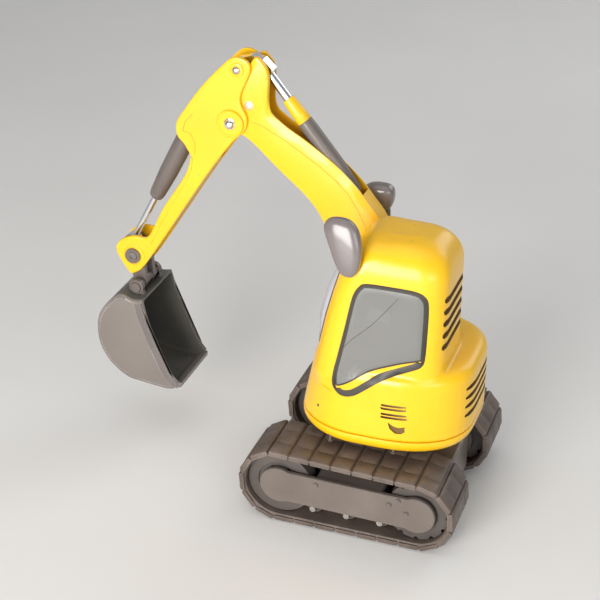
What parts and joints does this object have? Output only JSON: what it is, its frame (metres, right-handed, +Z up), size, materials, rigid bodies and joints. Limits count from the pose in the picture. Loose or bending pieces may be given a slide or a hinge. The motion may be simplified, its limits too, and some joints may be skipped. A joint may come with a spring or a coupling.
{
  "type": "remote-controlled crawler excavator",
  "caption": "Remote-controlled mini excavator on rubber tracks: swinging house with an offset cab, boom, stick and bucket worked by small cylinders.",
  "frame": {"origin": "on the ground under the house's swing axis", "axes": "+Z up, -Y towards the front of the tracks and the bucket, +X to the machine's left, the cab's side"},
  "size_m": [0.13, 0.2685, 0.279],
  "materials": {
    "track_rubber": "worn brown-grey moulded rubber",
    "wheel_plastic": "dusty grey-brown plastic",
    "frame_plastic": "scuffed taupe plastic",
    "steel": "plated steel",
    "motor_case": "plain plated motor case",
    "gear_brass": "cut brass",
    "gear_plastic": "natural acetal",
    "battery_wrap": "blue shrink wrap",
    "switch_plastic": "black moulded plastic",
    "yellow_plastic": "glossy yellow with worn edges",
    "window_plastic": "opaque dark grey glazing",
    "seal_rubber": "black rubber",
    "grey_plastic": "satin grey-brown plastic",
    "circuit_board": "green lacquered board",
    "chrome": "polished",
    "bucket_grey": "satin warm grey paint, worn at the edges"
  },
  "bodies": {
    "undercarriage": {"left_track_belt": "track_rubber", "right_track_belt": "track_rubber", "track_frames": "frame_plastic", "side_plates": "frame_plastic", "wheel_axles": "steel", "drive_motors": "motor_case", "chassis_frame": "frame_plastic", "chassis_bottom": "frame_plastic", "battery_pack": "battery_wrap", "slew_gear": "gear_plastic", "slew_rings": "frame_plastic", "slip_ring": "gear_plastic", "chassis_screws": "steel"},
    "battery_door": {"battery_door": "frame_plastic"},
    "power_switch": {"power_switch": "switch_plastic"},
    "house": {"house_tray": "yellow_plastic", "body_shell": "yellow_plastic", "side_windows": "window_plastic", "windshield": "window_plastic", "window_seals": "seal_rubber", "left_mirror": "grey_plastic", "right_mirror": "grey_plastic", "swing_motor": "motor_case", "control_board": "circuit_board", "house_screws": "steel", "boom_bracket": "steel", "boom_foot_pin": "steel"},
    "swing_pinion": {"swing_pinion": "gear_brass"},
    "boom": {"boom_left_half": "yellow_plastic", "boom_right_half": "yellow_plastic", "boom_motor": "motor_case", "arm_cylinder_pin": "steel"},
    "arm_barrel": {"arm_barrel": "grey_plastic", "arm_sleeve": "yellow_plastic", "arm_lead_screw": "steel"},
    "arm_rod": {"arm_rod": "chrome"},
    "stick": {"stick_left_half": "yellow_plastic", "stick_right_half": "yellow_plastic", "stick_pins": "steel", "stick_bolts": "steel"},
    "bucket_barrel": {"bucket_barrel": "grey_plastic", "bucket_lead_screw": "steel"},
    "bucket_rod": {"bucket_rod": "chrome"},
    "bucket": {"bucket": "bucket_grey", "bucket_hanger": "grey_plastic", "bucket_ear_bolt": "steel"},
    "left_drive": {"left_drive_axle": "steel", "left_sprocket": "wheel_plastic"},
    "left_motor_pinion": {"left_motor_pinion": "gear_brass"},
    "left_idler": {"left_idler": "wheel_plastic"},
    "left_front_roller": {"left_front_roller": "wheel_plastic"},
    "left_middle_roller": {"left_middle_roller": "wheel_plastic"},
    "left_rear_roller": {"left_rear_roller": "wheel_plastic"},
    "right_drive": {"right_drive_axle": "steel", "right_sprocket": "wheel_plastic"},
    "right_motor_pinion": {"right_motor_pinion": "gear_brass"},
    "right_idler": {"right_idler": "wheel_plastic"},
    "right_front_roller": {"right_front_roller": "wheel_plastic"},
    "right_middle_roller": {"right_middle_roller": "wheel_plastic"},
    "right_rear_roller": {"right_rear_roller": "wheel_plastic"}
  },
  "joints": [
    {"name": "swing", "type": "hinge", "parent": "undercarriage", "child": "house", "pos_m": [0, 0, 0.058], "axis": [0, 0, 1], "continuous": true},
    {"name": "swing_pinion_spin", "type": "hinge", "parent": "house", "child": "swing_pinion", "pos_m": [0, 0.018, 0.0487], "axis": [0, 0, 1], "continuous": true},
    {"name": "boom_lift", "type": "hinge", "parent": "house", "child": "boom", "pos_m": [-0.022, 0.006, 0.106], "axis": [-1, 0, 0], "range_deg": [-15, 25]},
    {"name": "stick_swing", "type": "hinge", "parent": "boom", "child": "stick", "pos_m": [-0.022, -0.1028, 0.2354], "axis": [1, 0, 0], "range_deg": [-25, 18]},
    {"name": "arm_barrel_tilt", "type": "hinge", "parent": "boom", "child": "arm_barrel", "pos_m": [-0.022, -0.025, 0.199], "axis": [1, 0, 0], "range_deg": [-8, 8]},
    {"name": "arm_rod_slide", "type": "slide", "parent": "arm_barrel", "child": "arm_rod", "axis": [0, -0.632, 0.775], "range_m": [-0.014, 0.01]},
    {"name": "bucket_curl", "type": "hinge", "parent": "stick", "child": "bucket", "pos_m": [-0.022, -0.175, 0.1315], "axis": [1, 0, 0], "range_deg": [-40, 45]},
    {"name": "bucket_barrel_tilt", "type": "hinge", "parent": "stick", "child": "bucket_barrel", "pos_m": [-0.022, -0.1347, 0.2227], "axis": [1, 0, 0], "range_deg": [-4, 4]},
    {"name": "bucket_rod_slide", "type": "slide", "parent": "bucket_barrel", "child": "bucket_rod", "axis": [0, -0.4654, -0.8851], "range_m": [-0.0052, 0.006]},
    {"name": "left_sprocket_turn", "type": "hinge", "parent": "undercarriage", "child": "left_drive", "pos_m": [0.04525, 0.045, 0.025], "axis": [1, 0, 0], "continuous": true},
    {"name": "left_pinion_turn", "type": "hinge", "parent": "undercarriage", "child": "left_motor_pinion", "pos_m": [0.014, 0.033, 0.025], "axis": [1, 0, 0], "continuous": true},
    {"name": "left_idler_turn", "type": "hinge", "parent": "undercarriage", "child": "left_idler", "pos_m": [0.04525, -0.045, 0.0265], "axis": [1, 0, 0], "continuous": true},
    {"name": "left_front_roller_turn", "type": "hinge", "parent": "undercarriage", "child": "left_front_roller", "pos_m": [0.04525, -0.0234, 0.0102], "axis": [1, 0, 0], "continuous": true},
    {"name": "left_middle_roller_turn", "type": "hinge", "parent": "undercarriage", "child": "left_middle_roller", "pos_m": [0.04525, -0.001, 0.0102], "axis": [1, 0, 0], "continuous": true},
    {"name": "left_rear_roller_turn", "type": "hinge", "parent": "undercarriage", "child": "left_rear_roller", "pos_m": [0.04525, 0.021, 0.0102], "axis": [1, 0, 0], "continuous": true},
    {"name": "right_sprocket_turn", "type": "hinge", "parent": "undercarriage", "child": "right_drive", "pos_m": [-0.04525, 0.045, 0.025], "axis": [1, 0, 0], "continuous": true},
    {"name": "right_pinion_turn", "type": "hinge", "parent": "undercarriage", "child": "right_motor_pinion", "pos_m": [-0.014, 0.033, 0.025], "axis": [1, 0, 0], "continuous": true},
    {"name": "right_idler_turn", "type": "hinge", "parent": "undercarriage", "child": "right_idler", "pos_m": [-0.04525, -0.045, 0.0265], "axis": [1, 0, 0], "continuous": true},
    {"name": "right_front_roller_turn", "type": "hinge", "parent": "undercarriage", "child": "right_front_roller", "pos_m": [-0.04525, -0.0234, 0.0102], "axis": [1, 0, 0], "continuous": true},
    {"name": "right_middle_roller_turn", "type": "hinge", "parent": "undercarriage", "child": "right_middle_roller", "pos_m": [-0.04525, -0.001, 0.0102], "axis": [1, 0, 0], "continuous": true},
    {"name": "right_rear_roller_turn", "type": "hinge", "parent": "undercarriage", "child": "right_rear_roller", "pos_m": [-0.04525, 0.021, 0.0102], "axis": [1, 0, 0], "continuous": true},
    {"name": "power_switch_slide", "type": "slide", "parent": "undercarriage", "child": "power_switch", "axis": [0, 1, 0], "range_m": [0, 0.003]},
    {"name": "battery_door_drop", "type": "slide", "parent": "undercarriage", "child": "battery_door", "axis": [0, 0, -1], "range_m": [0, 0.008]}
  ],
  "couplings": [
    {"joint": "swing_pinion_spin", "follows": "swing", "ratio": 4},
    {"joint": "arm_barrel_tilt", "follows": "stick_swing", "ratio": 0.2288},
    {"joint": "arm_rod_slide", "follows": "stick_swing", "m_per_rad": 0.02952},
    {"joint": "bucket_barrel_tilt", "follows": "bucket_curl", "ratio": -0.027},
    {"joint": "bucket_rod_slide", "follows": "bucket_curl", "m_per_rad": 0.006282},
    {"joint": "left_pinion_turn", "follows": "left_sprocket_turn", "ratio": -3},
    {"joint": "left_idler_turn", "follows": "left_sprocket_turn", "ratio": 0.9309},
    {"joint": "left_front_roller_turn", "follows": "left_sprocket_turn", "ratio": 4.04},
    {"joint": "left_middle_roller_turn", "follows": "left_sprocket_turn", "ratio": 4.04},
    {"joint": "left_rear_roller_turn", "follows": "left_sprocket_turn", "ratio": 4.04},
    {"joint": "right_pinion_turn", "follows": "right_sprocket_turn", "ratio": -3},
    {"joint": "right_idler_turn", "follows": "right_sprocket_turn", "ratio": 0.9309},
    {"joint": "right_front_roller_turn", "follows": "right_sprocket_turn", "ratio": 4.04},
    {"joint": "right_middle_roller_turn", "follows": "right_sprocket_turn", "ratio": 4.04},
    {"joint": "right_rear_roller_turn", "follows": "right_sprocket_turn", "ratio": 4.04}
  ]
}
